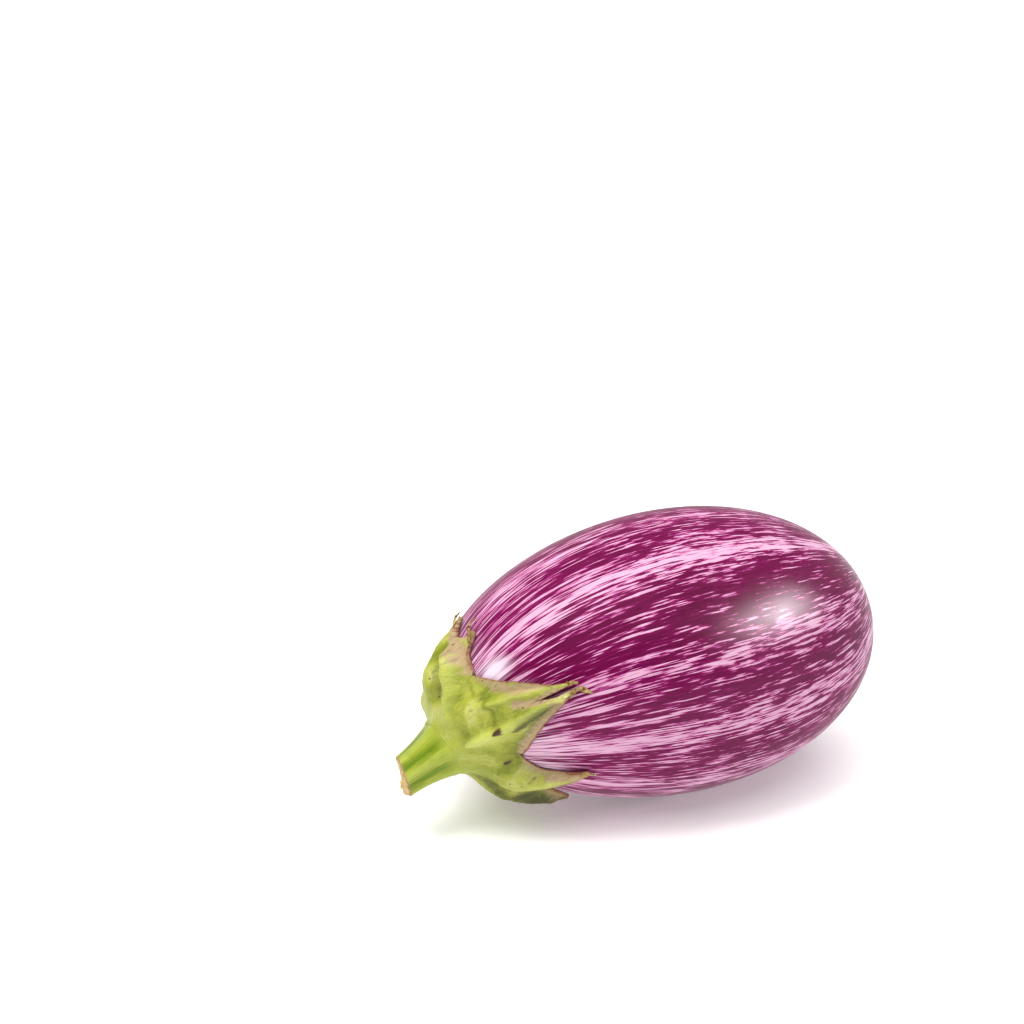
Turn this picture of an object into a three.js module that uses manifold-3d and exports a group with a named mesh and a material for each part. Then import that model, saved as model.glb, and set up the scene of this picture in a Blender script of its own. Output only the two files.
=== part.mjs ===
// A small striped eggplant, picked with its stem on and lying on its side.
// The fruit is one blunt egg that rests on a small flat spot. The calyx is a fleshy cap of six sepals
// that grips its narrow end, and the ribbed stem stands on the cap and ends in a slanting cut.
// Millimetres, +Z up. -X is the stem end, +X the blossom end, the origin the middle of the flat spot.
import * as THREE from "three";
import { mergeVertices } from "three/addons/utils/BufferGeometryUtils.js";
import Module from "manifold-3d";

const wasm = await Module();
wasm.setup();

const { degToRad, lerp, smoothstep } = THREE.MathUtils;

// Fruit: an egg about a long axis that leans a little, its stem end down
const FRUIT_RADIUS = 39;
const STEM_END_LENGTH = 66.4;
const BLOSSOM_END_LENGTH = 59.2;
const STEM_END_FULLNESS = 1.9; // 2 is an ellipse, less is more pointed
const BLOSSOM_END_FULLNESS = 2.08;
const FRUIT_LEAN = 1.6; // degrees
const RIB_SWELL = 0.005; // soft ribs, as a share of the radius
const RIBS = [
  { count: 2, weight: 1, phase: -0.6 },
  { count: 5, weight: 0.6, phase: 1.1 },
];
const FLAT_SPOT_DEPTH = 0.6; // how far the belly is flattened where it lies
const SCAR_DIMPLE = 1.0; // depth of the blossom scar
const SCAR_BUTTON = 0.6; // height of the button in its middle, as a share of the depth
const SCAR_BUTTON_WIDTH = 0.35; // as a share of the scar's width
const SCAR_ANGLE = 3.2; // degrees at the fruit's centre, from the scar's middle to the dimple's slope

// The growth axis, from the fruit's centre out through the stem: the sepals are set round it
const GROWTH_YAW = 6.3; // degrees, towards -Y
const GROWTH_DROOP = 11.1; // degrees below level

// Calyx: the sepals' outlines as [turn round the stem, reach from the growth axis] in degrees at the
// fruit's centre. The turn is 0 at the top and grows towards -Y. A sepal rises from the notch before it to
// the first corner of its tip, and falls from the second corner to its own notch. A torn tip has a split in
// its middle. plump scales the fleshy middle.
const SEPALS = [
  {
    plump: 1,
    rising: [[322, 25], [329, 29]],
    tip: [[333, 31], [355.5, 28.8]],
    falling: [[357, 25.6], [361.5, 23.2]],
    notch: [371.5, 20.6],
    split: { from: 26.2, inner: 3.2, outer: 4.6 },
  },
  {
    plump: 1,
    rising: [[29, 24.5], [43, 31.5]],
    tip: [[48.7, 39.2], [53.2, 38.6]],
    falling: [[58, 32.3], [70, 23.8]],
    notch: [91, 16.6],
    split: { from: 29.5, inner: 0.1, outer: 0.8 },
  },
  {
    plump: 1.1,
    rising: [[105, 20.7], [106, 26.5]],
    tip: [[103.5, 33.6], [106, 33.6]],
    falling: [[116, 28.5], [126, 25]],
    notch: [135, 20.5],
  },
  {
    plump: 1.25,
    rising: [[145, 26], [152, 30]],
    tip: [[155, 31.5], [157, 31.5]],
    falling: [[165, 28], [176, 23]],
    notch: [188, 19],
  },
  {
    plump: 1,
    rising: [[200, 23.5], [211, 30]],
    tip: [[216.5, 37], [219, 37]],
    falling: [[226, 30], [239, 23.5]],
    notch: [253, 20],
  },
  {
    plump: 0.7,
    rising: [[267, 24.5], [279, 31]],
    tip: [[283, 39], [285, 39]],
    falling: [[292, 31], [304, 24]],
    notch: [316, 20],
  },
];
const SEAT_GAP = 0.35; // between the calyx and the fruit
const SEPAL_EDGE = 1.0; // thickness of the sepals' thin margins
const SEPAL_PUFF = 4.6; // how much thicker their fleshy middle is
const PUFF_FALL = 1.1; // power with which it thins towards the tip
const MARGIN_SPAN = [0.25, 0.85]; // shares of the half width between which it thins to the margin
const PLUMP_SPAN = [0.2, 1]; // shares of the half width between which plump stops counting
const MIDRIB = 0.7;
const MIDRIB_WIDTH = 0.2; // as a share of the sepal's half width
const FLANK_WAVE = 0.35; // degrees, the waviness of the flanks
const TIP_CURL = 0.8; // how far the tips stand off the fruit
const CURL_POWER = 4;

// Stem: it stands square on the calyx's flat crown
const STEM_YAW = 8.7; // degrees, towards -Y
const STEM_DROOP = 23.5; // degrees below level
const STEM_LENGTH = 14.8;
const STEM_TIP_RADIUS = 5.4;
const STEM_FLARE = 3.6; // how much wider the base is than the tip
const FLARE_POWER = 1.8;
const STEM_RIDGE = 0.55;
const RIDGE_WIDTH = 0.28; // radians of turn
const CUT_SLANT = 10; // degrees
const RIM_WIDTH = 0.5; // of the ring of rind round the cut
const RIM_HEIGHT = 0.35;
const PITH_RADIUS = 2.2;
const PITH_FLOOR = 0.7; // width of its floor, as a share of its edge
const PITH_DEPTH = 0.5;
const CROWN_MARGIN = 0.3; // how far the crown reaches past the stem's foot
const CROWN_RADIUS = STEM_TIP_RADIUS + STEM_FLARE + CROWN_MARGIN;
const CROWN_HEIGHT = 4.6; // of the crown over the fruit, along the growth axis
const CROWN_RISE = 1.1; // of the crown's middle over the growth axis
const CROWN_HOLLOW = 0.25; // how much less plump the calyx is beside the stem
// Shares of the way from the stem to the sepals' feet between which each of these comes in
const CROWN_CURVE_SPAN = [0, 0.4];
const CROWN_HOLLOW_SPAN = [0.1, 1];
const CROWN_MARGIN_SPAN = [0.2, 1];
const CROWN_MIDRIB_SPAN = [0.2, 0.9];
const STEM_GAP = 0.3; // between the stem and the crown

// Colours
const SKIN_COLOUR = 0x84285e;
const CALYX_COLOUR = 0xa3ac4e;
const STEM_COLOUR = 0x8fae3c;

// Roughness
const SKIN_ROUGHNESS = 0.25;
const CALYX_ROUGHNESS = 0.55;
const STEM_ROUGHNESS = 0.5;

const UP = new THREE.Vector3(0, 0, 1);
const SAME_POINT = 1e-4;
const NO_LENGTH = 1e-6;
const LEVEL_WITH = 1e-3;

// A bell curve: 1 at no distance, falling away over the width
function bell(distance, width) {
  return Math.exp(-((distance / width) ** 2));
}

// Evenly spaced shares from 0 to 1
function steps(count) {
  return Array.from({ length: count + 1 }, (_, i) => i / count);
}

// Evenly spaced turns right round, the last one equal to the first
function ringTurns(count) {
  return Array.from({ length: count + 1 }, (_, i) => ((i % count) / count) * 2 * Math.PI);
}

// A unit vector towards the stem end, turned yaw degrees towards -Y and droop degrees down
function stemwards(yaw, droop) {
  const y = degToRad(yaw);
  const d = degToRad(droop);
  return new THREE.Vector3(-Math.cos(y) * Math.cos(d), -Math.sin(y) * Math.cos(d), -Math.sin(d));
}

// An axis with the two directions square to it: side points towards -Y, top upwards
function squareFrame(axis) {
  const side = new THREE.Vector3().crossVectors(UP, axis).normalize();
  const top = new THREE.Vector3().crossVectors(axis, side);
  return { axis, side, top };
}

const lean = degToRad(FRUIT_LEAN);
const longAxis = new THREE.Vector3(Math.cos(lean), 0, Math.sin(lean));
const growth = squareFrame(stemwards(GROWTH_YAW, GROWTH_DROOP));
const stemFrame = squareFrame(stemwards(STEM_YAW, STEM_DROOP));

// Distance from the fruit's centre to its skin in a direction, reach radians from the growth axis
function skinDistance(direction, reach, turn) {
  const along = direction.dot(longAxis);
  const across = Math.sqrt(Math.max(0, 1 - along * along));
  const length = along > 0 ? BLOSSOM_END_LENGTH : STEM_END_LENGTH;
  const fullness = along > 0 ? BLOSSOM_END_FULLNESS : STEM_END_FULLNESS;
  const egg =
    ((Math.abs(along) / length) ** fullness + (across / FRUIT_RADIUS) ** fullness) ** (-1 / fullness);
  let ribs = 0;
  for (const rib of RIBS) ribs += rib.weight * Math.cos(rib.count * turn + rib.phase);
  const fromScar = (Math.PI - reach) / degToRad(SCAR_ANGLE);
  const scar = SCAR_DIMPLE * (SCAR_BUTTON * bell(fromScar, SCAR_BUTTON_WIDTH) - bell(fromScar, 1));
  return egg * (1 + RIB_SWELL * Math.sin(reach) ** 2 * ribs) + scar;
}

// A point lift millimetres over the skin; reach and turn are in radians
function overSkin(reach, turn, lift = 0) {
  const direction = growth.axis
    .clone()
    .multiplyScalar(Math.cos(reach))
    .addScaledVector(growth.top, Math.sin(reach) * Math.cos(turn))
    .addScaledVector(growth.side, Math.sin(reach) * Math.sin(turn));
  return direction.multiplyScalar(skinDistance(direction, reach, turn) + lift);
}

// Triangles of a grid of points, facing out where rows run from the stem and columns run with the turn
function gridTriangles(rows, inward = false) {
  const triangles = [];
  const add = (a, b, c) => {
    const flat = Math.min(a.distanceTo(b), b.distanceTo(c), c.distanceTo(a)) < NO_LENGTH;
    if (!flat) triangles.push(...(inward ? [a, c, b] : [a, b, c]));
  };
  for (let i = 0; i + 1 < rows.length; i++) {
    for (let j = 0; j + 1 < rows[i].length; j++) {
      add(rows[i][j], rows[i][j + 1], rows[i + 1][j + 1]);
      add(rows[i][j], rows[i + 1][j + 1], rows[i + 1][j]);
    }
  }
  return triangles;
}

function geometryOfTriangles(points) {
  return mergeVertices(new THREE.BufferGeometry().setFromPoints(points), SAME_POINT);
}

function solidOf(geometry) {
  return new wasm.Manifold(
    new wasm.Mesh({
      numProp: 3,
      vertProperties: new Float32Array(geometry.attributes.position.array),
      triVerts: new Uint32Array(geometry.index.array),
    }),
  );
}

function geometryOfSolid(solid) {
  const mesh = solid.getMesh();
  return new THREE.BufferGeometry()
    .setAttribute("position", new THREE.BufferAttribute(mesh.vertProperties, 3))
    .setIndex(new THREE.BufferAttribute(mesh.triVerts, 1));
}

function finish(name, geometry, colour, roughness) {
  geometry.computeVertexNormals();
  const material = new THREE.MeshStandardMaterial({ color: colour, roughness, metalness: 0 });
  const mesh = new THREE.Mesh(geometry, material);
  mesh.name = name;
  return mesh;
}

// The fruit: rings from the stem end to the blossom scar, then the belly cut flat
const FRUIT_SEGMENTS = 64;
const BODY_RINGS = 30;
const SCAR_RINGS = [5.2, 3.6, 2.4, 1.4, 0.7, 0]; // degrees from the scar's middle

function fruitSurface() {
  const reaches = steps(BODY_RINGS).slice(0, -1).map((share) => share * degToRad(180));
  for (const angle of SCAR_RINGS) reaches.push(Math.PI - degToRad(angle));
  const turns = ringTurns(FRUIT_SEGMENTS);
  return reaches.map((reach) => turns.map((turn) => overSkin(reach, turn)));
}

function fruitGeometry() {
  const whole = solidOf(geometryOfTriangles(gridTriangles(fruitSurface())));
  const lowest = whole.boundingBox().min[2];
  const slab = new THREE.BoxGeometry(4 * FRUIT_RADIUS, 4 * FRUIT_RADIUS, FRUIT_RADIUS)
    .deleteAttribute("normal")
    .deleteAttribute("uv")
    .translate(0, 0, lowest + FLAT_SPOT_DEPTH - FRUIT_RADIUS / 2);
  return geometryOfSolid(whole.subtract(solidOf(mergeVertices(slab))));
}

// The middle of the flat spot, which becomes the origin
function restingPoint(geometry) {
  const box = new THREE.Box3();
  const spot = new THREE.Box3();
  box.setFromBufferAttribute(geometry.attributes.position);
  const point = new THREE.Vector3();
  for (let i = 0; i < geometry.attributes.position.count; i++) {
    point.fromBufferAttribute(geometry.attributes.position, i);
    if (point.z < box.min.z + LEVEL_WITH) spot.expandByPoint(point);
  }
  return spot.getCenter(new THREE.Vector3());
}

// The calyx is drawn on a flat chart of the fruit's stem end: a point's distance from the chart's middle
// is its reach and its direction is its turn, both in degrees.
const COLUMNS = 12; // across each sepal
const CROWN_ROWS = 7;
const SEPAL_ROWS = 10;
const POLE_REACH = 1e-9; // degrees, so close to the axis that only the turn still counts

function onChart([turn, reach]) {
  const angle = degToRad(turn);
  return new THREE.Vector2(reach * Math.cos(angle), reach * Math.sin(angle));
}

function overChart(point, lift) {
  return overSkin(degToRad(point.length()), Math.atan2(point.y, point.x), lift);
}

// A sepal's two flanks as curves on the chart, each from its notch to its corner of the tip
function sepalPlan(index) {
  const sepal = SEPALS[index];
  const before = SEPALS[(index + SEPALS.length - 1) % SEPALS.length].notch;
  const corners = sepal.tip.map(onChart);
  const rising = [before, ...sepal.rising, sepal.tip[0]];
  const falling = [sepal.notch, ...sepal.falling.toReversed(), sepal.tip[1]];
  return {
    plump: sepal.plump,
    split: sepal.split,
    tip: corners[0].clone().lerp(corners[1], 0.5),
    across: corners[1].clone().sub(corners[0]).normalize(),
    flanks: [rising, falling].map((flank) => new THREE.SplineCurve(flank.map(onChart))),
  };
}

// Chart point of a sepal: share runs 0 to 1 from its foot to its tip, sideways -1 to 1 between its flanks
function sepalPoint({ flanks, across }, share, sideways) {
  const [left, right] = flanks.map((curve, i) => {
    const wave = FLANK_WAVE * Math.sin(3 * Math.PI * share + i) * Math.sin(Math.PI * share);
    return curve.getPoint(share).addScaledVector(across, wave);
  });
  return left.lerp(right, (sideways + 1) / 2);
}

function undersideLift(share) {
  return SEAT_GAP + TIP_CURL * share ** CURL_POWER;
}

// Height of the calyx over the fruit: crown runs 0 to 1 from the stem to the sepals' feet, share 0 to 1 on
// to the tips. The fleshy middle falls to a thin margin along the flanks.
function calyxLift({ plump }, crown, share, sideways) {
  const edge = Math.abs(sideways);
  const margin = smoothstep(edge, ...MARGIN_SPAN) * smoothstep(crown, ...CROWN_MARGIN_SPAN);
  const hollow = CROWN_HOLLOW * (1 - smoothstep(crown, ...CROWN_HOLLOW_SPAN));
  const fleshy = lerp(plump, 1, smoothstep(edge, ...PLUMP_SPAN)) * (1 - hollow) * (1 - margin);
  const puff = SEPAL_PUFF * fleshy * (1 - share) ** PUFF_FALL;
  const rib = bell(sideways, MIDRIB_WIDTH) * smoothstep(crown, ...CROWN_MIDRIB_SPAN) * (1 - share ** 2);
  return undersideLift(share) + SEPAL_EDGE + puff + MIDRIB * rib;
}

const crownCentre = growth.axis
  .clone()
  .multiplyScalar(skinDistance(growth.axis, 0, 0) + CROWN_HEIGHT)
  .addScaledVector(growth.top, CROWN_RISE);

// A point of the flat crown on which the stem stands
function crownPoint(turn, radius) {
  return crownCentre
    .clone()
    .addScaledVector(stemFrame.top, radius * Math.cos(turn))
    .addScaledVector(stemFrame.side, radius * Math.sin(turn));
}

// The crown's row of points at a share of the way from the stem to a sepal's foot
function crownRow(plan, crown, upper) {
  const crownReach = (CROWN_RADIUS / crownCentre.length()) * (180 / Math.PI);
  return steps(COLUMNS).map((across) => {
    const sideways = 2 * across - 1;
    const foot = sepalPoint(plan, 0, sideways);
    const turn = Math.atan2(foot.y, foot.x);
    const reach = lerp(upper ? crownReach : 0, foot.length(), crown);
    const point = foot.clone().setLength(Math.max(POLE_REACH, reach));
    if (!upper) return overChart(point, undersideLift(0));
    const onCurve = overChart(point, calyxLift(plan, crown, 0, sideways));
    return crownPoint(turn, CROWN_RADIUS).lerp(onCurve, smoothstep(crown, ...CROWN_CURVE_SPAN));
  });
}

// A sepal's row of points at a share of the way from its foot to its tip
function sepalRow(plan, share, upper) {
  return steps(COLUMNS).map((across) => {
    const sideways = 2 * across - 1;
    const lift = upper ? calyxLift(plan, 1, share, sideways) : undersideLift(share);
    return overChart(sepalPoint(plan, share, sideways), lift);
  });
}

// The rows' outer points, down one flank, round the tip and up the other
function sepalRim(rows) {
  return [
    ...rows.map((row) => row[0]),
    ...rows[SEPAL_ROWS].slice(1),
    ...rows.map((row) => row[COLUMNS]).reverse().slice(1),
  ];
}

function calyxShell() {
  const triangles = [];
  for (let i = 0; i < SEPALS.length; i++) {
    const plan = sepalPlan(i);
    const crownTop = steps(CROWN_ROWS).map((crown) => crownRow(plan, crown, true));
    const crownUnder = steps(CROWN_ROWS).map((crown) => crownRow(plan, crown, false));
    const centre = crownTop[0].map(() => crownCentre);
    const sepalTop = steps(SEPAL_ROWS).map((share) => sepalRow(plan, share, true));
    const sepalUnder = steps(SEPAL_ROWS).map((share) => sepalRow(plan, share, false));
    triangles.push(...gridTriangles([centre, ...crownTop]));
    triangles.push(...gridTriangles(sepalTop));
    triangles.push(...gridTriangles(crownUnder, true));
    triangles.push(...gridTriangles(sepalUnder, true));
    triangles.push(...gridTriangles([sepalRim(sepalTop), sepalRim(sepalUnder)]));
  }
  return solidOf(geometryOfTriangles(triangles));
}

// A wedge that splits a sepal's end in two: a four-sided prism through the sepal's thickness
const WEDGE_LIFTS = [-3, 9];
const WEDGE_OVERRUN = 3; // degrees past the tip

function splitWedge({ split, tip, across }) {
  const start = tip.clone().setLength(split.from);
  const end = tip.clone().setLength(tip.length() + WEDGE_OVERRUN);
  const corners = [
    start.clone().addScaledVector(across, split.inner),
    end.clone().addScaledVector(across, split.outer),
    end.clone().addScaledVector(across, -split.outer),
    start.clone().addScaledVector(across, -split.inner),
  ];
  const [bottom, top] = WEDGE_LIFTS.map((lift) => corners.map((corner) => overChart(corner, lift)));
  const quad = (a, b, c, d) => [a, b, c, a, c, d];
  const sides = corners.flatMap((_, i) => quad(bottom[i], bottom[(i + 1) % 4], top[(i + 1) % 4], top[i]));
  const triangles = [...sides, ...quad(...bottom.toReversed()), ...quad(...top)];
  const wedge = solidOf(geometryOfTriangles(triangles));
  return wedge.volume() > 0 ? wedge : solidOf(geometryOfTriangles(triangles.reverse()));
}

function calyxGeometry() {
  let shell = calyxShell();
  for (let i = 0; i < SEPALS.length; i++) {
    const plan = sepalPlan(i);
    if (plan.split) shell = shell.subtract(splitWedge(plan));
  }
  return geometryOfSolid(shell);
}

// The stem: rings up its middle line, with a ridge in line with each sepal, then the cut and the sunken pith
const STEM_SEGMENTS = 48;
const STEM_ROWS = 10;

function stemRadius(share, turn) {
  const flare = STEM_FLARE * (1 - share) ** FLARE_POWER;
  let ridge = 0;
  for (const sepal of SEPALS) {
    const middle = degToRad((sepal.tip[0][0] + sepal.tip[1][0]) / 2);
    const away = Math.atan2(Math.sin(turn - middle), Math.cos(turn - middle));
    ridge += bell(away, RIDGE_WIDTH);
  }
  return STEM_TIP_RADIUS + flare + STEM_RIDGE * (ridge - 0.5);
}

// A point of the stem, share 0 to 1 along it; rise lifts it along the axis
function stemPoint(share, turn, radius, rise = 0) {
  const slant = Math.tan(degToRad(CUT_SLANT)) * share * -radius * Math.cos(turn);
  return crownPoint(turn, radius)
    .addScaledVector(stemFrame.axis, STEM_GAP + STEM_LENGTH * share + slant + rise);
}

function stemGeometry() {
  const turns = ringTurns(STEM_SEGMENTS);
  const wall = steps(STEM_ROWS).map((down) =>
    turns.map((turn) => stemPoint(1 - down, turn, stemRadius(1 - down, turn))),
  );
  const rim = turns.map((turn) => stemPoint(1, turn, stemRadius(1, turn) - RIM_WIDTH, RIM_HEIGHT));
  const pithEdge = turns.map((turn) => stemPoint(1, turn, PITH_RADIUS));
  const pithFloor = turns.map((turn) => stemPoint(1, turn, PITH_RADIUS * PITH_FLOOR, -PITH_DEPTH));
  const pithMiddle = turns.map(() => stemPoint(1, 0, 0, -PITH_DEPTH));
  const base = turns.map(() => stemPoint(0, 0, 0));
  return geometryOfTriangles(gridTriangles([pithMiddle, pithFloor, pithEdge, rim, ...wall, base]));
}

const fruit = fruitGeometry();
const eggplant = new THREE.Group();
eggplant.add(
  finish("fruit", fruit, SKIN_COLOUR, SKIN_ROUGHNESS),
  finish("calyx", calyxGeometry(), CALYX_COLOUR, CALYX_ROUGHNESS),
  finish("stem", stemGeometry(), STEM_COLOUR, STEM_ROUGHNESS),
);
eggplant.position.copy(restingPoint(fruit)).negate();

export default eggplant;
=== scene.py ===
import math

import bmesh
import bpy
import numpy as np
from mathutils import Matrix, Vector


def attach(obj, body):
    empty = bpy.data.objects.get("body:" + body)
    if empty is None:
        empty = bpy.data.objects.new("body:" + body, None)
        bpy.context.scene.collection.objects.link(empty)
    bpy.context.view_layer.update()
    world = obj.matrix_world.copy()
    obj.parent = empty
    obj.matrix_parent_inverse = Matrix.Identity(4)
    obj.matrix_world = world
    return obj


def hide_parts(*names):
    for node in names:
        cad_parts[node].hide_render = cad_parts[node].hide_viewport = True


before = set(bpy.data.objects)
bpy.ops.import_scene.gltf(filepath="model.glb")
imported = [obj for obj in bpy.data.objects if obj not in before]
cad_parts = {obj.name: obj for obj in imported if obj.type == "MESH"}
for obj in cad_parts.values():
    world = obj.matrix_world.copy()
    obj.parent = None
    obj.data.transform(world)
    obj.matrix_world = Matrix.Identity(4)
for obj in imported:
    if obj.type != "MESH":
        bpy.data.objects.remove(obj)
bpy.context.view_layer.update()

# The fruit is one berry: a thin waxy skin over spongy flesh, swollen into a blunt egg. It lies on its side,
# flattened a little where it rests, and a small dry scar marks its far end, where the flower dropped off.
FRUIT_RADIUS = 39.0  # millimetres, as all lengths below
STEM_END_LENGTH, BLOSSOM_END_LENGTH = 66.4, 59.2
STEM_END_FULLNESS, BLOSSOM_END_FULLNESS = 1.9, 2.08
FRUIT_LEAN = 1.6  # degrees
RIB_SWELL = 0.005
RIBS = [(2, 1.0, -0.6), (5, 0.6, 1.1)]  # how many go round, their share of the swell and where they start
SCAR_DIMPLE, SCAR_ANGLE = 1.0, 3.2
SCAR_BUTTON, SCAR_BUTTON_WIDTH = 0.6, 0.35  # shares of the dimple's depth and width
GROWTH_YAW, GROWTH_DROOP = 6.3, 11.1
FRUIT_MIDDLE = np.array([1.0887, -0.7831, 38.516])  # over the middle of the flat spot


def smooth(value, low, high):
    share = np.clip((value - low) / (high - low), 0, 1)
    return share * share * (3 - 2 * share)


def bell(distance, width):
    """1 at no distance, falling away over the width."""
    return np.exp(-((distance / width) ** 2))


def stemwards(yaw, droop):
    yaw, droop = math.radians(yaw), math.radians(droop)
    return np.array([-math.cos(yaw) * math.cos(droop), -math.sin(yaw) * math.cos(droop), -math.sin(droop)])


def square_frame(axis):
    side = np.cross([0, 0, 1], axis)
    side /= np.linalg.norm(side)
    return axis, side, np.cross(axis, side)


long_axis = np.array([math.cos(math.radians(FRUIT_LEAN)), 0, math.sin(math.radians(FRUIT_LEAN))])
growth_axis, growth_side, growth_top = square_frame(stemwards(GROWTH_YAW, GROWTH_DROOP))


def over_skin(reach, turn, lift=0.0):
    """Points lift over the skin, reach radians from the growth axis and turn radians round it."""
    reach, turn, lift = np.broadcast_arrays(reach, turn, lift)
    across = np.cos(turn)[..., None] * growth_top + np.sin(turn)[..., None] * growth_side
    direction = np.cos(reach)[..., None] * growth_axis + np.sin(reach)[..., None] * across
    along = direction @ long_axis
    width = np.sqrt(np.clip(1 - along**2, 0, 1))
    length = np.where(along > 0, BLOSSOM_END_LENGTH, STEM_END_LENGTH)
    full = np.where(along > 0, BLOSSOM_END_FULLNESS, STEM_END_FULLNESS)
    egg = ((np.abs(along) / length) ** full + (width / FRUIT_RADIUS) ** full) ** (-1 / full)
    ribs = RIB_SWELL * np.sin(reach) ** 2 * sum(w * np.cos(n * turn + start) for n, w, start in RIBS)
    from_scar = (np.pi - reach) / math.radians(SCAR_ANGLE)
    scar = SCAR_DIMPLE * (SCAR_BUTTON * bell(from_scar, SCAR_BUTTON_WIDTH) - bell(from_scar, 1))
    return direction * (egg * (1 + ribs) + scar + lift)[..., None]


CLOSE_POINTS, SHORT_EDGES = 4e-6, 1e-7  # metres: what is closer becomes one, what is shorter goes


def mesh_piece(name, grids, marks, material):
    """One closed mesh from grids of points. A grid is (points, flipped), and marks lie on its points."""
    points = np.concatenate([grid.reshape(-1, 3) for grid, _ in grids])
    faces, start = [], 0
    for grid, flipped in grids:
        rows, columns = grid.shape[:2]
        a = start + (np.arange(rows - 1)[:, None] * columns + np.arange(columns - 1)[None, :]).ravel()
        quads = np.stack([a, a + 1, a + columns + 1, a + columns], axis=1)
        faces.append(quads[:, ::-1] if flipped else quads)
        start += rows * columns
    places = (points + FRUIT_MIDDLE) / 1000
    mesh = bpy.data.meshes.new(name)
    mesh.from_pydata(places.tolist(), [], np.concatenate(faces).tolist())
    for mark, values in marks.items():
        flat = [np.asarray(grid, dtype=float).reshape(-1, *np.shape(grid)[2:]) for grid in values]
        flat = np.concatenate(flat).astype(np.float32)
        kind, field = ("FLOAT_VECTOR", "vector") if flat.ndim == 2 else ("FLOAT", "value")
        mesh.attributes.new(mark, kind, "POINT").data.foreach_set(field, flat.ravel())
    piece = bpy.data.objects.new(name, mesh)
    bpy.context.scene.collection.objects.link(piece)
    shape = bmesh.new()
    shape.from_mesh(mesh)
    bmesh.ops.remove_doubles(shape, verts=shape.verts, dist=CLOSE_POINTS)
    bmesh.ops.dissolve_degenerate(shape, edges=shape.edges, dist=SHORT_EDGES)
    bmesh.ops.recalc_face_normals(shape, faces=shape.faces)
    shape.to_mesh(mesh)
    shape.free()
    mesh.shade_smooth()
    mesh.materials.append(material)
    return piece


def new_material(name, **sockets):
    material = bpy.data.materials.new(name)
    material.use_nodes = True
    shader = material.node_tree.nodes["Principled BSDF"]
    for socket, value in sockets.items():
        shader.inputs[socket.replace("_", " ")].default_value = value
    return material, material.node_tree, shader


def add(tree, kind, *links, out=0, **settings):
    """A node with its inputs linked or set in order, or by name in settings; gives back one output."""
    node = tree.nodes.new("ShaderNode" + kind)
    named = settings.pop("inputs", {})
    for key, value in settings.items():
        setattr(node, key, value)
    for key, value in list(enumerate(links)) + list(named.items()):
        if isinstance(value, bpy.types.NodeSocket):
            tree.links.new(value, node.inputs[key])
        else:
            node.inputs[key].default_value = value
    return node.outputs[out]


def calc(tree, operation, *links, clamp=False):
    return add(tree, "Math", *links, operation=operation, use_clamp=clamp)


def mark_of(tree, name, out="Fac"):
    node = tree.nodes.new("ShaderNodeAttribute")
    node.attribute_name = name
    return node.outputs[out]


def ramp(tree, value, stops):
    node = tree.nodes.new("ShaderNodeValToRGB")
    tree.links.new(value, node.inputs[0])
    elements = node.color_ramp.elements
    while len(elements) < len(stops):
        elements.new(0.5)
    for element, (place, colour) in zip(elements, stops):
        element.position = place
        element.color = (*colour, 1)
    return node.outputs[0]


def noise(tree, place, scale, detail=2.0, roughness=0.5):
    settings = {"Vector": place, "Scale": scale, "Detail": detail, "Roughness": roughness}
    return add(tree, "TexNoise", inputs=settings)


def blend(tree, share, first, second):
    node = tree.nodes.new("ShaderNodeMix")
    node.data_type = "RGBA"
    for socket, value in (("Factor", share), ("A", first), ("B", second)):
        target = [s for s in node.inputs if s.name == socket and s.enabled][0]
        if isinstance(value, bpy.types.NodeSocket):
            tree.links.new(value, target)
        else:
            target.default_value = (*value, 1)
    return [s for s in node.outputs if s.enabled][0]


# The colour lies in the skin's cells as streaks that follow the growth lines from end to end.
# Bands are (turn, half width, strength): where the streaks crowd together, and where the pale ground shows.
FULL_BANDS = [
    (4, 8, 0.26), (42, 14, 0.40), (76, 8, 0.26), (108, 10, 0.24), (138, 8, 0.24), (170, 10, 0.28),
    (208, 11, 0.3), (243, 9, 0.22), (282, 14, 0.32), (312, 7, 0.2), (334, 13, 0.42),
]
PALE_BANDS = [
    (-7, 3, 0.10), (19, 5, 0.38), (61, 3, 0.20), (92, 5, 0.30), (125, 5, 0.2), (155, 7, 0.36), (189, 6, 0.36),
    (227, 7, 0.4), (262, 6, 0.3), (300, 6, 0.36),
]
STREAK_DRIFT, DRIFT_FROM = 0.14, 76  # degrees of turn for each of reach, counted from that reach
STREAK_SHORTENING, SHORTER_FROM = 0.3, 1.2  # towards the blossom end, from this reach in radians
EVEN_FULLNESS, PALER_BY_STEM, EVENER_BY_STEM = 0.55, 0.12, 0.35
PALER_WITHIN, EVENER_WITHIN = (35, 75), (18, 42)  # degrees of reach over which each one fades
OFF_CALYX, OFF_SCAR = (20, 32), (0.4, 3.4)  # degrees from the stem pole, and from the blossom pole
PALE_PATCH = (19, 9, 24, 5.5)  # its turn and half width, its reach and half width

# Shallow gathers round the rim of the calyx, where the skin is drawn in
GATHERS, PUCKER_DEPTH, PUCKER_REACH, PUCKER_WIDTH = 11, 0.35, 24, 9

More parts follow.
